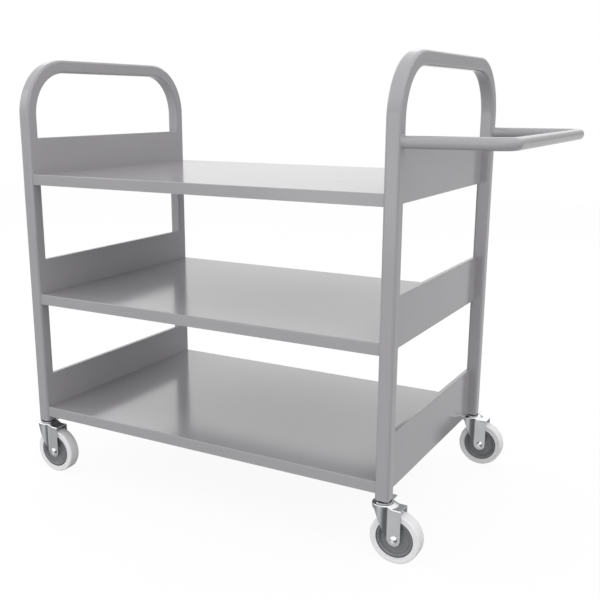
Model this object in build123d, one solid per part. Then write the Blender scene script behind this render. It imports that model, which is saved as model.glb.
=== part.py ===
from build123d import *
from math import asin, atan2, cos, hypot, pi, sin, tan
import os

# A book trolley: two inverted U end frames of square tube carry three flat shelves with upturned
# end panels, a push handle of round tube and four swivel castors.
# The origin is the centre of its outer box at floor level. +X runs along the shelves towards the
# handle, +Y runs from the front of the trolley to its back and +Z is up. All sizes in millimetres.

# End frames
frame_length = 876.0
frame_depth = 560.0
frame_height = 930.0
tube_width = 28.0
tube_corner = 5.5
tube_wall = 1.5
frame_bend = 106.0

# Shelves, each a sheet steel pan with folded front and back lips
shelf_names = ["bottom", "middle", "top"]
bottom_shelf_above_foot = 35.0
top_shelf_drop = 242.0
shelf_sheet = 1.2
shelf_bend = 2.0
shelf_lip = 23.0
shelf_return = 9.0
shelf_setback = 3.5

# Upturned end panels, each a folded double skin that stands between the two legs of a frame
panel_thickness = 10.0
panel_sheet = 1.2
panel_bend = 1.5
panel_rise = 76.5

# Push handle
handle_tube = 22.0
handle_wall = 1.5
handle_below_bend = 35.0
handle_reach = 185.0
handle_bend = 26.0
weld_leg = 1.5

# Wheels
wheel_diameter = 100.0
tyre_width = 27.0
tyre_thickness = 12.5
tyre_shoulder = 2.5
hub_face_inset = 1.2
hub_boss_wall = 5.0
hub_boss_taper = 2.5
hub_web_half = 6.0
hub_rim_width = 3.3
hub_ring_width = 3.0
hub_ring_inset = 1.7
hub_groove_width = 1.2
hub_groove_depth = 1.0

# Axles
axle_radius = 4.0
bush_wall = 2.0
nut_across_flats = 13.0
fastener_height = 5.0
fastener_dome = 1.6

# Forks
trail = 28.0
fork_sheet = 2.5
fork_tip = 13.0
fork_neck_blend = 6.0
crown_bend = 3.0
head_radius = 22.0
head_rise = 5.0
head_crest_inset = 1.5
head_flare = 6.0
head_flare_round = 6.0
head_edge_round = 2.4
skirt_front_drop = 1.0
skirt_knee_in = 11.5
skirt_knee_down = 5.0

# Swivel pins and races
pin_radius = 6.0
pin_length_in_plug = 30.0
race_thickness = 4.4
race_side_gap = 2.5
pin_flange_inset = 4.0
pin_flange_thickness = 3.5

# Fittings between the castor heads and the legs
plate_radius = 16.0
plate_thickness = 1.7
tab_width = 28.0
tab_reach = 33.0
collar_height = 3.0
collar_inset = 0.75
plug_end_wall = 4.0

# Clearances and fits
body_gap = 0.3
wheel_top_gap = 7.5
wheel_side_gap = 1.0
running_fit = 0.05
plug_fit = 0.1
overrun = 5.0

# The castors' places, from the floor up
wheel_radius = wheel_diameter / 2
hub_radius = wheel_radius - tyre_thickness
bush_radius = axle_radius + bush_wall
fork_inside = tyre_width + 2 * wheel_side_gap
fork_half = fork_inside / 2 + fork_sheet
fork_back = trail + fork_tip
fork_low = wheel_radius - fork_tip
crown_top = wheel_diameter + wheel_top_gap + fork_sheet
head_top = crown_top + head_rise
race_radius = head_radius - fork_sheet - race_side_gap
race_top = head_top - fork_sheet
race_bottom = race_top - race_thickness
flange_top = race_bottom - body_gap
plate_bottom = head_top + body_gap
collar_bottom = plate_bottom + plate_thickness
leg_clearance = collar_bottom + collar_height

# The frame's and the shelves' places
frame_half = frame_length / 2
depth_half = frame_depth / 2
leg_x = frame_half - tube_width / 2
leg_y = depth_half - tube_width / 2
top_axis = frame_height - tube_width / 2
inner_face = frame_half - tube_width
bottom_shelf_height = leg_clearance + bottom_shelf_above_foot
top_shelf_height = frame_height - top_shelf_drop
shelf_pitch = (top_shelf_height - bottom_shelf_height) / (len(shelf_names) - 1)
handle_height = top_axis - frame_bend - handle_below_bend

# The outer box: the lowest and highest X and Y that any piece reaches, in the frame's own centre lines
reach_back = max(tube_width / 2, head_radius, wheel_radius - trail)
reach_across = max(fork_half + fastener_height, head_radius)
box_x_low = -leg_x - reach_back
box_x_high = frame_half + handle_reach + handle_tube / 2
box_y_low = -leg_y - reach_across
box_y_high = leg_y + max(reach_across, tab_reach)
centre_x = -(box_x_low + box_x_high) / 2
centre_y = -(box_y_low + box_y_high) / 2

sides = {"left": -1, "right": 1}
corners = {
    "front_left": (-leg_x, -leg_y),
    "front_right": (leg_x, -leg_y),
    "back_left": (-leg_x, leg_y),
    "back_right": (leg_x, leg_y),
}


def shelf_height(index):
    """Height of a shelf's top face above the floor, counted from the bottom shelf."""
    return bottom_shelf_height + index * shelf_pitch


def frame_path(x):
    """Centre line of an end frame: up the front leg, along the top and down the back leg."""
    low = leg_clearance
    points = [(x, -leg_y, low), (x, -leg_y, top_axis), (x, leg_y, top_axis), (x, leg_y, low)]
    return FilletPolyline(*points, radius=frame_bend)


def square_section(width, corner):
    return RectangleRounded(width, width, corner)


def end_frame(side):
    """One bent square tube, open at both feet."""
    outer = square_section(tube_width, tube_corner)
    inner = square_section(tube_width - 2 * tube_wall, tube_corner - tube_wall)
    section = Location((side * leg_x, -leg_y, leg_clearance)) * (outer - inner)
    return sweep(section, path=frame_path(side * leg_x))


def end_frame_envelope(side):
    """The same tube filled in, which trims whatever is welded to it."""
    section = Location((side * leg_x, -leg_y, leg_clearance)) * square_section(tube_width, tube_corner)
    return sweep(section, path=frame_path(side * leg_x))


def box_between(low, high):
    """A box from its lowest corner to its highest."""
    size = [b - a for a, b in zip(low, high)]
    middle = [(a + b) / 2 for a, b in zip(low, high)]
    return Location(tuple(middle)) * Box(*size)


def panel_bottom(index):
    """The bottom panels reach down to the feet of the legs, the others to the shelf's lip."""
    lip_bottom = shelf_height(index) - shelf_lip
    return min(lip_bottom, leg_clearance) if index == 0 else lip_bottom


def end_panel(index, side, envelope):
    """A folded double skin, closed at the top and open underneath, trimmed to the legs."""
    low_x = inner_face
    high_x = inner_face + panel_thickness
    top = shelf_height(index) + panel_rise
    bottom = panel_bottom(index)
    half = leg_y
    shell = box_between((low_x, -half, bottom), (high_x, half, top))
    top_edges = shell.faces().sort_by(Axis.Z)[-1].edges().filter_by(Axis.Y)
    shell = fillet(top_edges, panel_bend)
    hollow = box_between(
        (low_x + panel_sheet, -half - overrun, bottom - overrun),
        (high_x - panel_sheet, half + overrun, top - panel_sheet),
    )
    panel = shell - hollow
    if side < 0:
        panel = mirror(panel, about=Plane.YZ)
    return panel - envelope


def shelf_section():
    """Section of a shelf across its depth: a flat top with folded lips and inward returns."""
    half = depth_half - shelf_setback
    outer = [(-half, -shelf_lip), (-half, 0), (half, 0), (half, -shelf_lip)]
    inner_half = half - shelf_return
    low = -shelf_lip
    points = outer + [(inner_half, low)]
    points += [(inner_half, low + shelf_sheet), (half - shelf_sheet, low + shelf_sheet)]
    points += [(half - shelf_sheet, -shelf_sheet), (-half + shelf_sheet, -shelf_sheet)]
    points += [(-half + shelf_sheet, low + shelf_sheet), (-inner_half, low + shelf_sheet)]
    points += [(-inner_half, low)]
    section = make_face(Polyline(*points, close=True))
    corners_out = section.vertices().group_by(Axis.Y)[-1]
    return fillet(corners_out, shelf_bend)


def shelf(index, envelopes):
    """One pan, run a little long and trimmed to the legs and the end panels."""
    length = 2 * (inner_face + panel_thickness / 2)
    plane = Plane(origin=(-length / 2, 0, shelf_height(index)), x_dir=(0, 1, 0), z_dir=(1, 0, 0))
    pan = extrude(plane * shelf_section(), amount=length)
    for side in sides.values():
        inside = side * inner_face
        outside = side * (inner_face + panel_thickness)
        low = (min(inside, outside), -leg_y, shelf_height(index) - shelf_lip - overrun)
        high = (max(inside, outside), leg_y, shelf_height(index) + overrun)
        pan = pan - envelopes[side] - box_between(low, high)
    return pan


def handle_path():
    start = leg_x
    far = frame_half + handle_reach
    points = [(start, -leg_y, handle_height), (far, -leg_y, handle_height)]
    points += [(far, leg_y, handle_height), (start, leg_y, handle_height)]
    return FilletPolyline(*points, radius=handle_bend)


def handle_section(radius):
    plane = Plane(origin=(leg_x, -leg_y, handle_height), x_dir=(0, 1, 0), z_dir=(1, 0, 0))
    return plane * Circle(radius)


def push_handle(envelope):
    """A U of round tube whose ends are shaped to the legs, with a weld bead round each."""
    handle = sweep(handle_section(handle_tube / 2), path=handle_path())
    for y in (-leg_y, leg_y):
        end = Location((frame_half, y, handle_height), (0, 90, 0))
        handle = handle + end * Torus(handle_tube / 2, weld_leg)
    bore = sweep(handle_section(handle_tube / 2 - handle_wall), path=handle_path())
    return (handle - bore - envelope).solids().sort_by(SortBy.VOLUME)[-1]


def upright(radius, bottom, top):
    """An upright round bar between two heights, on the swivel axis."""
    return Location((0, 0, (bottom + top) / 2)) * Cylinder(radius, top - bottom)


def fork_outline(inset, back):
    """The fork seen from above: a round head that narrows to two flat cheeks."""
    radius = head_radius - inset
    half = fork_half - inset
    outline = Circle(radius) + Location((back / 2, 0)) * Rectangle(back, 2 * half)
    neck_x = radius * cos(asin(half / radius))
    necks = [v for v in outline.vertices() if abs(v.X - neck_x) < fork_sheet / 2]
    return fillet(necks, fork_neck_blend + inset)


def on_tip(angle):
    """A point on the tip's round, at an angle from the rear."""
    return (trail + fork_tip * cos(angle), wheel_radius + fork_tip * sin(angle))


def fork_side():
    """The fork seen from the side: the front edge slopes down to a round tip at the axle."""
    start = (-head_radius, crown_top - skirt_front_drop)
    knee = (start[0] + skirt_knee_in, start[1] - skirt_knee_down)
    dx = trail - knee[0]
    dz = wheel_radius - knee[1]
    slope = atan2(dz, dx) - asin(fork_tip / hypot(dx, dz))
    touch_angle = slope - pi / 2
    high = head_top + overrun
    outline = [
        Polyline(knee, start, (start[0] - overrun, start[1]), (start[0] - overrun, high)),
        Polyline((start[0] - overrun, high), (fork_back + overrun, high), (fork_back + overrun, crown_top)),
        Polyline((fork_back + overrun, crown_top), (fork_back, crown_top), on_tip(0)),
        ThreePointArc(on_tip(0), on_tip(touch_angle / 2), on_tip(touch_angle)),
        Line(on_tip(touch_angle), knee),
    ]
    return Plane.XZ * make_face(outline)


def cross_hole(radius):
    """A hole across the fork at the axle."""
    place = Location((trail, 0, wheel_radius), (90, 0, 0))
    return place * Cylinder(radius, 2 * (fork_half + overrun))


def flared_head():
    """The pressed head above the crown: a flat top that slopes down all round to the crown."""
    crest = (head_radius - head_crest_inset, head_top)
    foot = (head_radius + head_flare, crown_top)
    slope = atan2(crest[1] - foot[1], foot[0] - crest[0])
    end = foot[0] + head_flare_round * tan(slope / 2)
    low = crown_top - crown_bend
    top_side = [(0, head_top), crest, foot, (end + overrun, crown_top)]
    face = make_face(Polyline((0, low), *top_side, (end + overrun, low), close=True))
    bends = [v for v in face.vertices() if (v.X, v.Y) in (crest, foot)]
    flare = revolve(Plane.XZ * fillet(bends, head_flare_round), Axis.Z)
    prism = Location((0, 0, low)) * extrude(fork_outline(0, fork_back), amount=head_top - low)
    head = prism & flare & upright(end, low, head_top)
    rim = [e for e in head.edges().filter_by(GeomType.CIRCLE) if abs(e.radius - head_radius) < body_gap]
    return fillet([e for e in rim if e.center().Z > crown_top], head_edge_round)


def fork_outside():
    """The fork's outer skin, before it is hollowed and cut to its side view."""
    body = Location((0, 0, fork_low)) * extrude(fork_outline(0, fork_back), amount=crown_top - fork_low)
    crown_edges = body.edges().filter_by(Axis.X).group_by(Axis.Z)[-1]
    return fillet(crown_edges, crown_bend) + flared_head()


def fork_inside_space():
    """The space between the cheeks and under the head."""
    depth = crown_top - fork_sheet - fork_low + overrun
    outline = fork_outline(fork_sheet, fork_back + overrun)
    space = Location((0, 0, fork_low - overrun)) * extrude(outline, amount=depth)
    return space + upright(head_radius - fork_sheet, fork_low, race_top)


def castor_fork():
    """The pressed steel fork: a raised round head, a flat crown behind it and two cheeks."""
    fork = fork_outside() - fork_inside_space()
    fork = fork & extrude(fork_side(), amount=fork_half + overrun + head_radius, both=True)
    pin_hole = upright(pin_radius + running_fit, crown_top, head_top + overrun)
    return fork - pin_hole - cross_hole(axle_radius + running_fit)


def castor_race():
    """The ball race ring pressed up under the head."""
    bore = upright(pin_radius + running_fit, race_bottom - overrun, race_top + overrun)
    return upright(race_radius, race_bottom, race_top) - bore


def castor_pin():
    """The swivel pin: a flange under the race and a shank that runs up into the leg's plug."""
    bottom = flange_top - pin_flange_thickness
    flange = upright(race_radius - pin_flange_inset, bottom, flange_top)
    return flange + upright(pin_radius, bottom, leg_clearance + pin_length_in_plug)


def head_plate():
    """The plate between the swivel head and the leg, with its flat tab."""
    disc = Circle(plate_radius)
    tab = Location((0, tab_reach / 2)) * Rectangle(tab_width, tab_reach)
    outline = disc + tab - Circle(pin_radius + running_fit)
    return Location((0, 0, plate_bottom)) * extrude(outline, amount=plate_thickness)


def leg_plug():
    """The moulded plug in the foot of a leg, with a collar under the tube's end."""
    collar_width = tube_width - 2 * collar_inset
    collar = square_section(collar_width, tube_corner - collar_inset)
    body_width = tube_width - 2 * tube_wall - 2 * plug_fit
    body = square_section(body_width, tube_corner - tube_wall - plug_fit)
    plug = Location((0, 0, collar_bottom)) * extrude(collar, amount=leg_clearance - collar_bottom)
    plug = plug + Location((0, 0, leg_clearance)) * extrude(body, amount=pin_length_in_plug + plug_end_wall)
    bore_top = leg_clearance + pin_length_in_plug
    return plug - upright(pin_radius + running_fit, collar_bottom - overrun, bore_top)


def on_axle(shape):
    """Moves a piece that was made about the Y axis to the axle's place behind the swivel pin."""
    return Location((trail, 0, wheel_radius)) * shape


def hub():
    """The moulded wheel centre: a boss on the bush, a dished web and a grooved outer ring."""
    boss_half = fork_inside / 2 - body_gap
    boss_radius = bush_radius + hub_boss_wall
    face_half = tyre_width / 2 - hub_face_inset
    ring_half = face_half - hub_ring_inset
    groove_half = ring_half - hub_groove_depth
    groove_outer = hub_radius - hub_rim_width
    groove_inner = groove_outer - hub_groove_width
    side_points = [
        (bush_radius + running_fit, boss_half),
        (boss_radius, boss_half),
        (boss_radius + hub_boss_taper, hub_web_half),
        (groove_inner - hub_ring_width, ring_half),
        (groove_inner, ring_half),
        (groove_inner, groove_half),
        (groove_outer, groove_half),
        (groove_outer, face_half),
        (hub_radius, face_half),
    ]
    other_side = [(r, -y) for r, y in reversed(side_points)]
    return on_axle(revolve(make_face(Polyline(*side_points, *other_side, close=True)), Axis.Y))


def tyre():
    """The soft tread moulded round the wheel centre."""
    section = Location((hub_radius + tyre_thickness / 2, 0)) * Rectangle(tyre_thickness, tyre_width)
    shoulders = section.vertices().group_by(Axis.X)[-1]
    return on_axle(revolve(fillet(shoulders, tyre_shoulder), Axis.Y))


def axle_bush():
    """The steel tube clamped between the cheeks, on which the wheel turns."""
    section = Circle(bush_radius) - Circle(axle_radius + running_fit)
    return on_axle(extrude(Plane.XZ * section, amount=fork_inside / 2, both=True))


def hexagon_end(direction):
    """A hexagon with a domed outer face, on one cheek of the fork."""
    hexagon = RegularPolygon(nut_across_flats / 2, 6, major_radius=False)
    body = extrude(hexagon, amount=fastener_height)
    ball_radius = (hypot(nut_across_flats / 2, fastener_dome) ** 2) / (2 * fastener_dome)
    dome = Location((0, 0, fastener_height - ball_radius)) * Sphere(ball_radius)
    tilt = 90 if direction < 0 else -90
    return Location((0, direction * fork_half, 0), (tilt, 0, 0)) * (body & dome)


def axle_bolt():
    """The axle: a hexagon head on the front cheek and a shank through the bush."""
    shank_length = 2 * fork_half + fastener_height / 2
    shank = Location((0, -fork_half, 0), (-90, 0, 0)) * Cylinder(
        axle_radius, shank_length, align=(Align.CENTER, Align.CENTER, Align.MIN)
    )
    return on_axle(hexagon_end(-1) + shank)


def axle_nut():
    """The domed nut on the back cheek."""
    bore = Cylinder(axle_radius + running_fit, fastener_height + 2 * body_gap)
    return on_axle(hexagon_end(1) - Location((0, fork_half, 0), (90, 0, 0)) * bore)


def place(shape, x=0, y=0):
    """Moves a shape from the frame's centre lines to the part's own origin."""
    return Location((centre_x + x, centre_y + y, 0)) * shape


def save(name, shape):
    export_step(shape, f"parts/{name}.step")


def save_frame_and_shelves():
    envelopes = {}
    for side_name, side in sides.items():
        envelopes[side] = end_frame_envelope(side)
        save(f"end_frame_{side_name}", place(end_frame(side)))
    for index, shelf_name in enumerate(shelf_names):
        for side_name, side in sides.items():
            save(f"end_panel_{shelf_name}_{side_name}", place(end_panel(index, side, envelopes[side])))
        save(f"shelf_{shelf_name}", place(shelf(index, envelopes)))
    save("push_handle", place(push_handle(envelopes[1])))


def save_castors():
    makers = {
        "leg_plug": leg_plug,
        "head_plate": head_plate,
        "castor_fork": castor_fork,
        "castor_race": castor_race,
        "axle_bolt": axle_bolt,
        "axle_nut": axle_nut,
        "axle_bush": axle_bush,
        "wheel_hub": hub,
        "tyre": tyre,
    }
    for name, maker in makers.items():
        piece = maker()
        for corner, (x, y) in corners.items():
            save(f"{name}_{corner}", place(piece, x, y))
    pins = [place(castor_pin(), x, y) for x, y in corners.values()]
    save("swivel_pins", Compound(children=pins))


os.makedirs("parts", exist_ok=True)
save_frame_and_shelves()
save_castors()
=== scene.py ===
import bmesh
import bpy
import numpy as np
from bpy.props import FloatProperty, FloatVectorProperty, PointerProperty
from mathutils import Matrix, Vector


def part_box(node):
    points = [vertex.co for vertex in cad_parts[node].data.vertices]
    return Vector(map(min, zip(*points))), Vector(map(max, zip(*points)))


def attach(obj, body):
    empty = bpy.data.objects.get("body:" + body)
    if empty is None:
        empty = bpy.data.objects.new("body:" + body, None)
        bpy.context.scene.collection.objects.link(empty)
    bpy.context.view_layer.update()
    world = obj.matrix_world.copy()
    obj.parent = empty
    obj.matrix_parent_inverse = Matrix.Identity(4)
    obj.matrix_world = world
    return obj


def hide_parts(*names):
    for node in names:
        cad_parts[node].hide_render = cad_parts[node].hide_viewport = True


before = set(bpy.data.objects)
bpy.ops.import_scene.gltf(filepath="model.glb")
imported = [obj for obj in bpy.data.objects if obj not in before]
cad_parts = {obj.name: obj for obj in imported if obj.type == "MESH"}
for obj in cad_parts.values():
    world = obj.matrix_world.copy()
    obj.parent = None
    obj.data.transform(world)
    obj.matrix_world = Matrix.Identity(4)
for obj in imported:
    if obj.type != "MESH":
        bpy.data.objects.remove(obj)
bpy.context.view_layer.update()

bl_info = {
    "name": "Book trolley",
    "version": (1, 0, 0),
    "blender": (4, 5, 0),
    "location": "3D View > Sidebar > Trolley",
    "description": "Dresses the packed book trolley: painted frame, plated castors, "
                   "soft wheels and a studio",
    "category": "Object",
}

# All lengths are in metres. The origin is the centre of the trolley's outer box at floor level,
# +X runs along the shelves to the push handle, +Y from front to back and +Z up.
MM = 0.001
CORNERS = ("front_left", "front_right", "back_left", "back_right")
PAINTED_NODES = ("end_frame", "end_panel", "shelf", "push_handle")
PLATED_NODES = ("castor_fork", "castor_race", "axle_bush", "head_plate", "swivel_pins")
PLASTIC_NODES = ("leg_plug",)

WHITE = (1.0, 1.0, 1.0, 1.0)
# The grey that light meets on the floor, so that little of it comes back up under the shelves.
FLOOR_GREY = (0.38, 0.38, 0.38, 1.0)
# The middle of the room's dark end, which lies a little in front of the handle's end.
HANDLE_END = (0.95, -0.31, 0.0)
# The place that every lamp shines at.
TROLLEY_MIDDLE = (0.0, 0.0, 0.5)
# Each lamp's label, the direction that it stands in, its distance, its width and its height.
LAMPS = (
    ("Overhead", (0.6, -0.3, 0.75), 3.5, 2.6, 2.6),
    ("Front", (0.15, -0.95, 0.08), 3.5, 5.2, 1.5),
    ("Back", (-0.5, 0.84, 0.35), 3.0, 4.6, 2.3),
    ("Right", (0.97, -0.2, 0.08), 3.5, 2.4, 1.4),
    ("Left", (-0.95, -0.15, 0.3), 3.5, 4.4, 2.4),
)


def colour_property(name, description, default):
    """A colour as shares of red, green and blue."""
    return FloatVectorProperty(
        name=name, description=description, default=default,
        subtype="COLOR", size=3, min=0.0, max=1.0,
    )


def share_property(name, description, default, high=1.0):
    """A plain number from 0 up, with a slider."""
    return FloatProperty(
        name=name, description=description, default=default, min=0.0, max=high, subtype="FACTOR"
    )


def length_property(name, description, default):
    """A length in metres, shown to a hundredth of a millimetre."""
    return FloatProperty(
        name=name, description=description, default=default, min=0.0, unit="LENGTH", precision=5
    )


def lamp_property(label, place, default):
    """The level of one lamp."""
    description = f"Light that the lamp {place} adds on a face square to it"
    return share_property(f"{label} lamp", description, default)


def room_property(label, place, default, high=1.0):
    """One tone of the room that gloss sees."""
    return share_property(f"Room, {label}", f"What gloss sees {place}", default, high)


class TrolleyPaint(bpy.types.PropertyGroup):
    """Powder paint of the frames, shelves, panels and handle."""

    colour: colour_property("Colour", "Mid grey of the powder paint", (0.352, 0.344, 0.357))
    drift: share_property("Colour drift", "How far the colour wanders over the surface", 0.025)
    rough_low: share_property("Roughness, glossiest", "Roughness of the glossiest spots", 0.09)
    rough_high: share_property("Roughness, dullest", "Roughness of the dullest spots", 0.15)
    gloss: share_property("Gloss", "Strength of the gloss, where 0.5 is a plain plastic's", 0.45)
    peel_size: length_property("Orange peel size", "Width of one dimple", 0.0026)
    peel_depth: length_property("Orange peel depth", "Depth of the dimples", 0.00002)


class TrolleyPlating(bpy.types.PropertyGroup):
    """Bright zinc plating of the castors."""

    colour: colour_property("Colour", "Zinc plating", (0.56, 0.57, 0.585))
    bolt_colour: colour_property("Bolt colour", "Polished bolts and nuts", (0.80, 0.80, 0.81))
    drift: share_property("Colour drift", "How far the plating's tone wanders", 0.06)
    rough_low: share_property("Roughness, glossiest", "Roughness of the polished spots", 0.10)
    rough_high: share_property("Roughness, dullest", "Roughness of the dull spots", 0.20)
    grain_size: length_property("Grain size", "Width of one grain of the pressing", 0.0012)
    grain_depth: length_property("Grain depth", "Depth of the grain", 0.000006)


class TrolleyWheels(bpy.types.PropertyGroup):
    """Soft tyres, moulded wheel centres and the plugs in the legs."""

    tyre_colour: colour_property("Tyre colour", "Pale grey rubber", (0.83, 0.83, 0.84))
    hub_colour: colour_property("Centre colour", "Dark grey plastic", (0.195, 0.198, 0.205))
    plug_colour: colour_property("Plug colour", "Black plastic", (0.018, 0.018, 0.019))


class TrolleyStudio(bpy.types.PropertyGroup):
    """Floor, background, lamps and the room that gloss sees."""

    dome_level: share_property("Dome level", "Even light, where 1 shows colours as written", 0.86)
    background_level: share_property("Background level", "White that the camera sees", 1.0)
    overhead_level: lamp_property("Overhead", "high over the handle's end", 0.14)
    front_level: lamp_property("Front", "in front", 0.25)
    back_level: lamp_property("Back", "behind", 0.22)
    right_level: lamp_property("Right", "at the handle's end", 0.03)
    left_level: lamp_property("Left", "at the other end", 0.33)
    floor_glow: share_property("Floor glow", "How much of the shadow the white hides", 0.93)
    room_pale: room_property("background", "of the pale background above the horizon", 0.45)
    room_pale_right: room_property("background right", "above the horizon at the handle's end", 0.4)
    room_bright: room_property("low", "below the horizon in front and behind", 0.8)
    room_left: room_property("left end", "low down at the left end", 0.45)
    room_dark: room_property("right end", "low down at the handle's end", 0.18)
    room_above: room_property("above", "of the soft light overhead", 1.6, 3.0)


def add_object(name, data):
    """Puts a new object into the scene."""
    thing = bpy.data.objects.new(name, data)
    bpy.context.scene.collection.objects.link(thing)
    return thing


def emptied_tree(owner):
    """The node tree of a material or a world, with nothing in it."""
    owner.use_nodes = True
    owner.node_tree.nodes.clear()
    return owner.node_tree


def add_node(tree, kind, inputs=None, **settings):
    """Adds a node, sets its plain properties, and gives each named input a link or a value."""
    node = tree.nodes.new(kind)
    for key, value in settings.items():
        setattr(node, key, value)
    for key, value in (inputs or {}).items():
        if isinstance(value, bpy.types.NodeSocket):
            tree.links.new(value, node.inputs[key])
        else:
            node.inputs[key].default_value = value
    return node


def calculated(tree, operation, *values, **settings):
    """The result of a sum on links or plain values."""
    values = dict(enumerate(values))
    return add_node(tree, "ShaderNodeMath", values, operation=operation, **settings).outputs[0]


def noise(tree, place, scale, detail):
    """A noise from 0 to 1 with so many waves to the metre, and finer ones in them for detail."""
    inputs = {"Vector": place, "Scale": scale, "Detail": detail}
    return add_node(tree, "ShaderNodeTexNoise", inputs).outputs["Fac"]


def ramp(tree, value, span, at_low, at_high, course="LINEAR"):
    """Runs from one value to another while its input goes through a span."""
    low, high = span
    ends = {"From Min": low, "From Max": high, "To Min": at_low, "To Max": at_high}
    node = add_node(
        tree, "ShaderNodeMapRange", {"Value": value, **ends}, interpolation_type=course
    )
    return node.outputs["Result"]


def smooth_step(tree, value, span, at_low, at_high):
    """A ramp that starts and ends gently."""
    return ramp(tree, value, span, at_low, at_high, course="SMOOTHSTEP")


def mix_shaders(tree, share, first, second):
    """Mixes two shaders, all the first where the share is 0 and all the second where it is 1."""
    return add_node(
        tree, "ShaderNodeMixShader", {0: share, 1: first.outputs[0], 2: second.outputs[0]}
    )


def finish_group():
    """The node group of a wandering finish, made once. At a place on the surface it reads a slow
    noise s and a fine noise f. The colour is multiplied by 1 - drift to 1 + drift as s goes through
    its middle part, the roughness goes from low to high as s + 0.3 f does, and the height is f."""
    name = "Wandering finish"
    if name in bpy.data.node_groups:
        return bpy.data.node_groups[name]
    tone_span, rough_span, fine_share = (0.3, 0.7), (0.35, 0.65), 0.3
    group = bpy.data.node_groups.new(name, "ShaderNodeTree")
    for label, kind, default in (
        ("Place", "NodeSocketVector", (0.0, 0.0, 0.0)),
        ("Colour", "NodeSocketColor", (0.5, 0.5, 0.5, 1.0)),
        ("Drift", "NodeSocketFloat", 0.05),
        ("Drift scale", "NodeSocketFloat", 4.0),
        ("Grain scale", "NodeSocketFloat", 400.0),
        ("Roughness low", "NodeSocketFloat", 0.3),
        ("Roughness high", "NodeSocketFloat", 0.5),
    ):
        socket = group.interface.new_socket(label, in_out="INPUT", socket_type=kind)
        socket.default_value = default
    for label, kind in (
        ("Colour", "NodeSocketColor"),
        ("Roughness", "NodeSocketFloat"),
        ("Height", "NodeSocketFloat"),
    ):
        group.interface.new_socket(label, in_out="OUTPUT", socket_type=kind)
    given = add_node(group, "NodeGroupInput").outputs
    slow = noise(group, given["Place"], given["Drift scale"], 3.0)
    fine = noise(group, given["Place"], given["Grain scale"], 2.0)
    darkest = calculated(group, "SUBTRACT", 1.0, given["Drift"])
    palest = calculated(group, "ADD", 1.0, given["Drift"])
    tone = ramp(group, slow, tone_span, darkest, palest)
    tint = add_node(
        group, "ShaderNodeVectorMath", {0: given["Colour"], "Scale": tone}, operation="SCALE"
    )
    blend = calculated(group, "MULTIPLY_ADD", fine, fine_share, slow)
    rough = ramp(group, blend, rough_span, given["Roughness low"], given["Roughness high"])
    add_node(
        group, "NodeGroupOutput", {"Colour": tint.outputs[0], "Roughness": rough, "Height": fine}
    )
    return group


def finished_material(
    name, colour, drift, drift_scale, grain_size, grain_depth, rough, metallic=0.0, specular=0.5
):
    """A Principled material whose colour, roughness and bump come from the wandering finish."""
    material = bpy.data.materials.new(name)
    tree = emptied_tree(material)
    finish = add_node(
        tree, "ShaderNodeGroup",
        {
            "Place": add_node(tree, "ShaderNodeTexCoord").outputs["Object"],
            "Colour": (*colour, 1.0),
            "Drift": drift,
            "Drift scale": drift_scale,
            "Grain scale": 1.0 / grain_size,
            "Roughness low": rough[0],
            "Roughness high": rough[1],
        },
        node_tree=finish_group(),
    ).outputs
    bump = add_node(
        tree, "ShaderNodeBump", {"Height": finish["Height"], "Distance": grain_depth}
    )
    shader = add_node(
        tree, "ShaderNodeBsdfPrincipled",
        {
            "Base Color": finish["Colour"],
            "Roughness": finish["Roughness"],
            "Normal": bump.outputs["Normal"],
            "Metallic": metallic,
            "Specular IOR Level": specular,
        },
    )
    add_node(tree, "ShaderNodeOutputMaterial", {"Surface": shader.outputs["BSDF"]})
    return material


def paint_nodes(starts, material):
    """Gives the CAD nodes whose names start so one material in place of their own."""
    for name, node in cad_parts.items():
        if name.startswith(starts):
            for slot in node.material_slots:
                slot.material = material


def softened(points, radii, steps=5):
    """A closed outline whose corners are eased. Each corner P becomes the curve
    (1-t)^2 A + 2t(1-t) P + t^2 B for t from 0 to 1, where A and B lie on its two edges at the
    corner's own radius from P."""
    before = np.roll(points, 1, axis=0) - points
    after = np.roll(points, -1, axis=0) - points
    start = points + radii * before / np.linalg.norm(before, axis=1, keepdims=True)
    end = points + radii * after / np.linalg.norm(after, axis=1, keepdims=True)
    t = np.linspace(0.0, 1.0, steps)[None, :, None]
    curve = (1 - t) ** 2 * start[:, None] + 2 * t * (1 - t) * points[:, None] + t**2 * end[:, None]
    return curve.reshape(-1, 2)


def both_sides(middle, side):
    """A wheel's outline from its rows at plus y, repeated backwards at minus y. A row is a
    corner's radius from the axle, its y, and how far from the corner its easing starts."""
    rows = np.array(middle + side + [(radius, -y, ease) for radius, y, ease in reversed(side)])
    return softened(rows[:, :2], rows[:, 2:])


def tyre_outline(radius, hub_radius, half):
    """Section of a tyre: a tread that crowns a little, round shoulders, and sides that dish in to
    a small lip at the wheel centre."""
    dish = half - 0.6 * MM
    tread = [(radius, 0.0, 6.0 * MM)]
    side = [
        (radius - 0.25 * MM, half - 0.2 * MM, 2.8 * MM),  # shoulder
        (radius - 4.5 * MM, half, 2.2 * MM),  # widest place
        (hub_radius + 3.4 * MM, dish, 1.0 * MM),  # deepest place of the dish
        (hub_radius + 1.6 * MM, dish + 0.35 * MM, 0.4 * MM),  # lip
        (hub_radius, dish + 0.2 * MM, 0.3 * MM),  # edge on the wheel centre
    ]
    return both_sides(tread, side)


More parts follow.
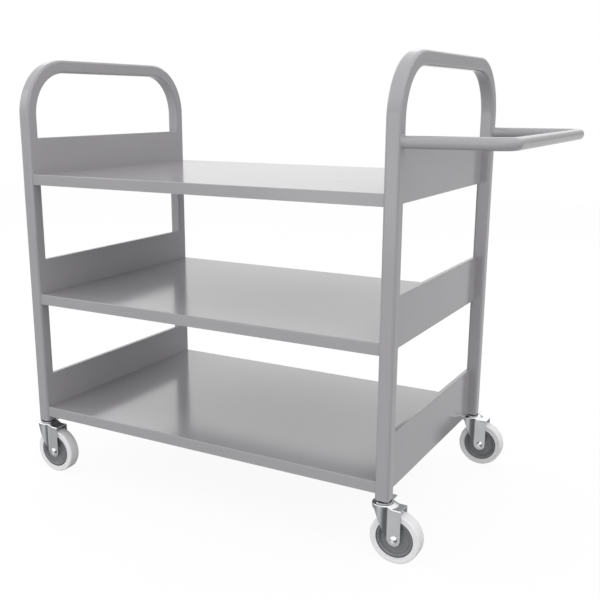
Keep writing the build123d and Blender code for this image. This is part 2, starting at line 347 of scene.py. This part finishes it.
def hub_outline(radius, half, bore, boss_half):
    """Section of a wheel centre: boss round the bush, web that dishes in, raised ring, groove
    and rim."""
    groove_floor, rim_face = half - 3.4 * MM, half - 0.6 * MM
    side = [
        (bore, boss_half, 0.3 * MM),  # boss at the bush
        (bore + 4.8 * MM, boss_half, 0.6 * MM),  # boss, outer edge
        (bore + 6.6 * MM, 7.2 * MM, 1.2 * MM),  # web at the boss
        (radius - 8.6 * MM, 5.8 * MM, 1.8 * MM),  # web at the ring
        (radius - 5.6 * MM, half - 1.4 * MM, 1.2 * MM),  # ring, inner edge
        (radius - 2.2 * MM, half - 1.0 * MM, 0.5 * MM),  # ring, outer edge
        (radius - 1.8 * MM, groove_floor, 0.2 * MM),
        (radius - 0.9 * MM, groove_floor, 0.2 * MM),
        (radius - 0.7 * MM, rim_face, 0.2 * MM),
        (radius, rim_face, 0.2 * MM),
    ]
    return both_sides([], side)


def grid_quads(rows, columns, closed):
    """Quads (i, j), (i+1, j), (i+1, j+1), (i, j+1) of a grid whose columns close on themselves,
    and where it is closed its rows too. Point (i, j) is vertex i * columns + j."""
    i, j = np.meshgrid(np.arange(rows if closed else rows - 1), np.arange(columns), indexing="ij")
    here, ahead = i * columns, (i + 1) % rows * columns
    after = (j + 1) % columns
    return np.stack([here + j, ahead + j, ahead + after, here + after], -1).reshape(-1, 4).tolist()


def pole_triangles(rows, columns):
    """Triangles from a grid's first and last row to a pole each. The first pole is vertex
    rows * columns and the last is the one after it."""
    ring = np.arange(columns)
    after = (ring + 1) % columns
    first_pole = np.full(columns, rows * columns)
    last_row = (rows - 1) * columns
    first = np.stack([first_pole, ring, after], -1)
    last = np.stack([first_pole + 1, last_row + after, last_row + ring], -1)
    return first.tolist() + last.tolist()


def turned_ring(outline, centre, steps=128):
    """Points and faces of an outline of (radius, y) pairs turned about the axle: x = radius cos a,
    z = radius sin a for a from 0 to one turn. The grid closes on itself both ways."""
    a = np.linspace(0.0, 2 * np.pi, steps, endpoint=False)[:, None]
    radius, across = outline[:, 0][None, :], outline[:, 1][None, :]
    grid = np.stack([radius * np.cos(a), across + 0 * a, radius * np.sin(a)], axis=-1) + centre
    return grid.reshape(-1, 3), grid_quads(steps, len(outline), closed=True)


def fastener(centre, outward, flats, height, inner_rows, steps=72):
    """Points and faces of a hexagon that blends to a dome, as rings of radius r and height h:
    x = r cos a, y = outward h, z = r sin a for a from 0 to one turn. The hexagon's edge has
    r = (flats / 2) / cos b, where b is the angle from the middle of the nearest flat. The dome's
    rings have r = reach sin t and h = height - drop (1 - cos t). Below them come the chamfer, the
    flats and a round washer face, and inner rows of radius and height run on into the shank."""
    a = np.linspace(0.0, 2 * np.pi, steps, endpoint=False)
    b = (a + np.pi / 6) % (np.pi / 3) - np.pi / 6
    apothem = flats / 2
    edge = apothem / np.cos(b)
    dome_foot, dome_drop = 0.58 * height, 0.315 * height
    dome_reach, chamfer_start, washer = 0.80 * apothem, 0.93 * apothem, 1.12 * apothem
    chamfer = 0.9 * MM
    chamfer_foot = dome_foot - chamfer * (edge - chamfer_start) / (edge.max() - chamfer_start)
    dome_angles = np.radians(np.linspace(8.0, 90.0, 9))
    rows = [(dome_reach * np.sin(t), height - dome_drop * (1 - np.cos(t))) for t in dome_angles]
    rows += [
        (chamfer_start, dome_foot),
        (edge - 0.15 * MM, chamfer_foot + 0.1 * MM),
        (edge, chamfer_foot),
        (edge, 0.75 * MM),
        (edge - 0.1 * MM, 0.6 * MM),
        (washer - 0.02 * apothem, 0.55 * MM),
        (washer, 0.4 * MM),
        (washer, 0.0),
        *inner_rows,
    ]
    radius = np.array([r + 0 * a for r, _ in rows])
    out = np.array([h + 0 * a for _, h in rows])
    grid = np.stack([radius * np.cos(a), outward * out, radius * np.sin(a)], axis=-1)
    poles = np.array([(0.0, outward * height, 0.0), (0.0, outward * out[-1, 0], 0.0)])
    faces = grid_quads(len(rows), steps, closed=False) + pole_triangles(len(rows), steps)
    return np.concatenate([grid.reshape(-1, 3), poles]) + centre, faces


def make_piece(name, shape, material, body, replaced, sharp_angle):
    """A closed shell from points and faces, its faces turned outwards, smooth but for edges
    sharper than the angle in degrees."""
    points, faces = shape
    mesh = bpy.data.meshes.new(name)
    mesh.from_pydata(points.tolist(), [], faces)
    shell = bmesh.new()
    shell.from_mesh(mesh)
    bmesh.ops.recalc_face_normals(shell, faces=shell.faces)
    shell.to_mesh(mesh)
    shell.free()
    mesh.shade_smooth()
    mesh.set_sharp_from_angle(angle=np.radians(sharp_angle))
    mesh.materials.append(material)
    piece = add_object(name, mesh)
    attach(piece, body)
    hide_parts(*replaced)


def axle_centre(corner):
    """Middle of a wheel at rest, from its tyre's own box."""
    low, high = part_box(f"tyre_{corner}")
    return (np.array(low) + np.array(high)) / 2


class TROLLEY_OT_paint(bpy.types.Operator):
    """Paint the end frames, panels, shelves and handle"""

    bl_idname = "trolley.paint"
    bl_label = "Painted steel"

    def execute(self, context):
        paint = context.scene.trolley_paint
        material = finished_material(
            "Powder paint", paint.colour, drift=paint.drift, drift_scale=5.0,
            grain_size=paint.peel_size, grain_depth=paint.peel_depth,
            rough=(paint.rough_low, paint.rough_high), specular=paint.gloss,
        )
        paint_nodes(PAINTED_NODES, material)
        return {"FINISHED"}


class TROLLEY_OT_castors(bpy.types.Operator):
    """Plate the forks, races, bushes, plates and pins, and make the bolts and nuts"""

    bl_idname = "trolley.castors"
    bl_label = "Castors"

    def execute(self, context):
        plating = context.scene.trolley_plating
        wheels = context.scene.trolley_wheels
        metal = {
            "drift": plating.drift, "drift_scale": 25.0, "metallic": 1.0,
            "grain_size": plating.grain_size, "grain_depth": plating.grain_depth,
        }
        zinc = finished_material(
            "Zinc plating", plating.colour, rough=(plating.rough_low, plating.rough_high), **metal
        )
        polished = finished_material(
            "Polished zinc", plating.bolt_colour, rough=(0.05, 0.09), **metal
        )
        black = finished_material(
            "Black plug plastic", wheels.plug_colour, drift=0.2, drift_scale=60.0,
            grain_size=0.0008, grain_depth=0.00002, rough=(0.45, 0.6),
        )
        paint_nodes(PLATED_NODES, zinc)
        paint_nodes(PLASTIC_NODES, black)
        for corner in CORNERS:
            self.fasteners(corner, polished)
        return {"FINISHED"}

    def fasteners(self, corner, polished):
        """A bolt from the front cheek through the wheel and a domed nut on the back cheek."""
        centre = axle_centre(corner)
        nut_low, nut_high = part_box(f"axle_nut_{corner}")
        height = nut_high[1] - nut_low[1]
        cheek = nut_low[1] - centre[1]
        to_back = np.array([0.0, cheek, 0.0])
        tip = -(2 * cheek + height / 2)
        flats, shank, nut_bore = 13.0 * MM, 4.0 * MM, 4.08 * MM
        sharp_angle = 28.0
        shank_rows = [
            (shank, 0.0), (shank, -cheek), (shank, tip + 0.6 * MM), (shank - 0.5 * MM, tip)
        ]
        bore_rows = [(nut_bore, 0.0), (nut_bore, height * 0.6)]
        make_piece(
            f"bolt_{corner}", fastener(centre - to_back, -1.0, flats, height, shank_rows),
            polished, f"fork_{corner}", [f"axle_bolt_{corner}"], sharp_angle,
        )
        make_piece(
            f"nut_{corner}", fastener(centre + to_back, 1.0, flats, height, bore_rows),
            polished, f"fork_{corner}", [f"axle_nut_{corner}"], sharp_angle,
        )


class TROLLEY_OT_wheels(bpy.types.Operator):
    """Make the tyres and the wheel centres"""

    bl_idname = "trolley.wheels"
    bl_label = "Wheels"

    def execute(self, context):
        wheels = context.scene.trolley_wheels
        rubber = finished_material(
            "Pale rubber", wheels.tyre_colour, drift=0.03, drift_scale=30.0,
            grain_size=0.0009, grain_depth=0.00003, rough=(0.5, 0.65),
        )
        plastic = finished_material(
            "Dark hub plastic", wheels.hub_colour, drift=0.08, drift_scale=40.0,
            grain_size=0.0007, grain_depth=0.00003, rough=(0.28, 0.38),
        )
        bore = 6.05 * MM
        sharp_angle = 50.0
        for corner in CORNERS:
            centre = axle_centre(corner)
            low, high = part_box(f"tyre_{corner}")
            hub_low, hub_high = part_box(f"wheel_hub_{corner}")
            radius, half = (high[2] - low[2]) / 2, (high[1] - low[1]) / 2
            hub_radius, boss_half = (hub_high[2] - hub_low[2]) / 2, (hub_high[1] - hub_low[1]) / 2
            tyre = turned_ring(tyre_outline(radius, hub_radius, half), centre)
            make_piece(
                f"soft_tyre_{corner}", tyre, rubber,
                f"wheel_{corner}", [f"tyre_{corner}"], sharp_angle,
            )
            hub = turned_ring(hub_outline(hub_radius, half, bore, boss_half), centre)
            make_piece(
                f"wheel_centre_{corner}", hub, plastic,
                f"wheel_{corner}", [f"wheel_hub_{corner}"], sharp_angle,
            )
        return {"FINISHED"}


class TROLLEY_OT_studio(bpy.types.Operator):
    """Make the floor, the white background, the lamps and the camera"""

    bl_idname = "trolley.studio"
    bl_label = "Studio"

    def execute(self, context):
        studio = context.scene.trolley_studio
        make_camera(context.scene)
        make_world(context.scene, studio)
        make_floor(studio.floor_glow, studio.background_level)
        for label, *placing in LAMPS:
            make_lamp(f"{label} lamp", getattr(studio, f"{label.lower()}_level"), *placing)
        context.scene.view_settings.view_transform = "Standard"
        return {"FINISHED"}


def make_camera(scene):
    """The photograph's own viewpoint, which looks down by the dip and left by the turn."""
    dip, turn = 13.917, 29.779
    data = bpy.data.cameras.new("Camera")
    data.sensor_width = 36.0
    data.lens = 51.93
    data.shift_x = 0.0376
    data.shift_y = 0.0267
    camera = add_object("Camera", data)
    camera.location = (0.8971, -1.6634, 0.8410)
    camera.rotation_euler = (np.radians(90 - dip), 0.0, np.radians(turn))
    scene.camera = camera


def seen_by_eye(tree):
    """1 for rays that come from the camera, a gloss or a clear body, and 0 for light itself."""
    path = add_node(tree, "ShaderNodeLightPath").outputs
    first = calculated(tree, "ADD", path["Is Camera Ray"], path["Is Glossy Ray"])
    return calculated(tree, "ADD", first, path["Is Transmission Ray"], use_clamp=True)


def room_in_gloss(tree, studio):
    """The room as gloss sees it, by direction alone. Below the horizon it is bright in front and
    behind, half dark at the left end and dark towards the handle's end. Above it the room is pale,
    a little less so at the handle's end, and brightens to the soft light overhead."""
    towards = add_node(tree, "ShaderNodeTexCoord").outputs["Generated"]
    parts = add_node(tree, "ShaderNodeSeparateXYZ", {0: towards}).outputs
    right = add_node(
        tree, "ShaderNodeVectorMath", {0: towards, 1: HANDLE_END}, operation="DOT_PRODUCT"
    ).outputs["Value"]
    left_span, low_right_span, pale_right_span = (-0.9, -0.45), (0.0, 0.65), (0.15, 0.85)
    horizon_span, overhead_span = (-0.12, 0.04), (0.08, 0.55)
    left_end = smooth_step(tree, parts["X"], left_span, studio.room_left, studio.room_bright)
    low = smooth_step(tree, right, low_right_span, left_end, studio.room_dark)
    pale = smooth_step(tree, right, pale_right_span, studio.room_pale, studio.room_pale_right)
    level = smooth_step(tree, parts["Z"], horizon_span, low, pale)
    return smooth_step(tree, parts["Z"], overhead_span, level, studio.room_above)


def make_world(scene, studio):
    """An even dome of light that the camera sees as pure white and gloss sees as a room."""
    world = bpy.data.worlds.new("Studio white")
    scene.world = world
    tree = emptied_tree(world)
    light = add_node(tree, "ShaderNodeBackground", {"Color": WHITE, "Strength": studio.dome_level})
    glossy = add_node(tree, "ShaderNodeLightPath").outputs["Is Glossy Ray"]
    room = room_in_gloss(tree, studio)
    seen = smooth_step(tree, glossy, (0.0, 1.0), studio.background_level, room)
    shown = add_node(tree, "ShaderNodeBackground", {"Color": WHITE, "Strength": seen})
    mix = mix_shaders(tree, seen_by_eye(tree), light, shown)
    add_node(tree, "ShaderNodeOutputWorld", {"Surface": mix.outputs[0]})


def make_floor(glow_share, background_level):
    """A floor that light meets as matt grey and the eye sees as white with a faint shadow of the
    trolley. Gloss sees the room's lower half in its place."""
    half = 6.0
    mesh = bpy.data.meshes.new("Floor")
    corners = [(-half, -half, 0), (half, -half, 0), (half, half, 0), (-half, half, 0)]
    mesh.from_pydata(corners, [], [(0, 1, 2, 3)])
    floor = add_object("Floor", mesh)
    material = bpy.data.materials.new("Pale floor")
    tree = emptied_tree(material)
    matt = add_node(tree, "ShaderNodeBsdfDiffuse", {"Color": FLOOR_GREY})
    white = add_node(tree, "ShaderNodeBsdfDiffuse", {"Color": WHITE})
    glow = add_node(tree, "ShaderNodeEmission", {"Strength": background_level})
    shown = mix_shaders(tree, glow_share, white, glow)
    mix = mix_shaders(tree, seen_by_eye(tree), matt, shown)
    add_node(tree, "ShaderNodeOutputMaterial", {"Surface": mix.outputs[0]})
    mesh.materials.append(material)
    floor.visible_glossy = False


def make_lamp(name, level, towards, distance, width, height):
    """A broad soft lamp that shines at the trolley's middle. A lamp of P watts at distance d lights
    a face square to it by P / (pi d)^2 of the face's own colour."""
    towards = np.array(towards) / np.linalg.norm(towards)
    data = bpy.data.lights.new(name, "AREA")
    data.shape = "RECTANGLE"
    data.size = width
    data.size_y = height
    data.energy = level * (np.pi * distance) ** 2
    lamp = add_object(name, data)
    lamp.location = np.array(TROLLEY_MIDDLE) + towards * distance
    lamp.rotation_euler = (np.arccos(towards[2]), 0.0, np.arctan2(towards[0], -towards[1]))
    lamp.visible_camera = False


# Each group of settings in the scene, and the operator that reads it.
SETTINGS = {
    "trolley_studio": (TrolleyStudio, TROLLEY_OT_studio),
    "trolley_paint": (TrolleyPaint, TROLLEY_OT_paint),
    "trolley_plating": (TrolleyPlating, TROLLEY_OT_castors),
    "trolley_wheels": (TrolleyWheels, TROLLEY_OT_wheels),
}


class TROLLEY_PT_panel(bpy.types.Panel):
    """Lists the trolley's pieces and finishes"""

    bl_idname = "TROLLEY_PT_panel"
    bl_label = "Book trolley"
    bl_space_type = "VIEW_3D"
    bl_region_type = "UI"
    bl_category = "Trolley"

    def draw(self, context):
        for name, (_, operator) in SETTINGS.items():
            box = self.layout.box()
            group = getattr(context.scene, name)
            for key in group.__annotations__:
                box.prop(group, key)
            box.operator(operator.bl_idname)


def classes():
    """The settings' classes first, because the scene's properties need them."""
    settings, operators = zip(*SETTINGS.values())
    return [*settings, *operators, TROLLEY_PT_panel]


def register():
    """Adds the classes and the scene's properties."""
    for cls in classes():
        bpy.utils.register_class(cls)
    for name, (settings, _) in SETTINGS.items():
        setattr(bpy.types.Scene, name, PointerProperty(type=settings))


def unregister():
    """Takes out what register adds."""
    for name in SETTINGS:
        delattr(bpy.types.Scene, name)
    for cls in reversed(classes()):
        bpy.utils.unregister_class(cls)


def main():
    """Makes the studio and the pieces."""
    register()
    bpy.ops.trolley.studio()
    bpy.ops.trolley.paint()
    bpy.ops.trolley.castors()
    bpy.ops.trolley.wheels()


if __name__ == "__main__":
    main()
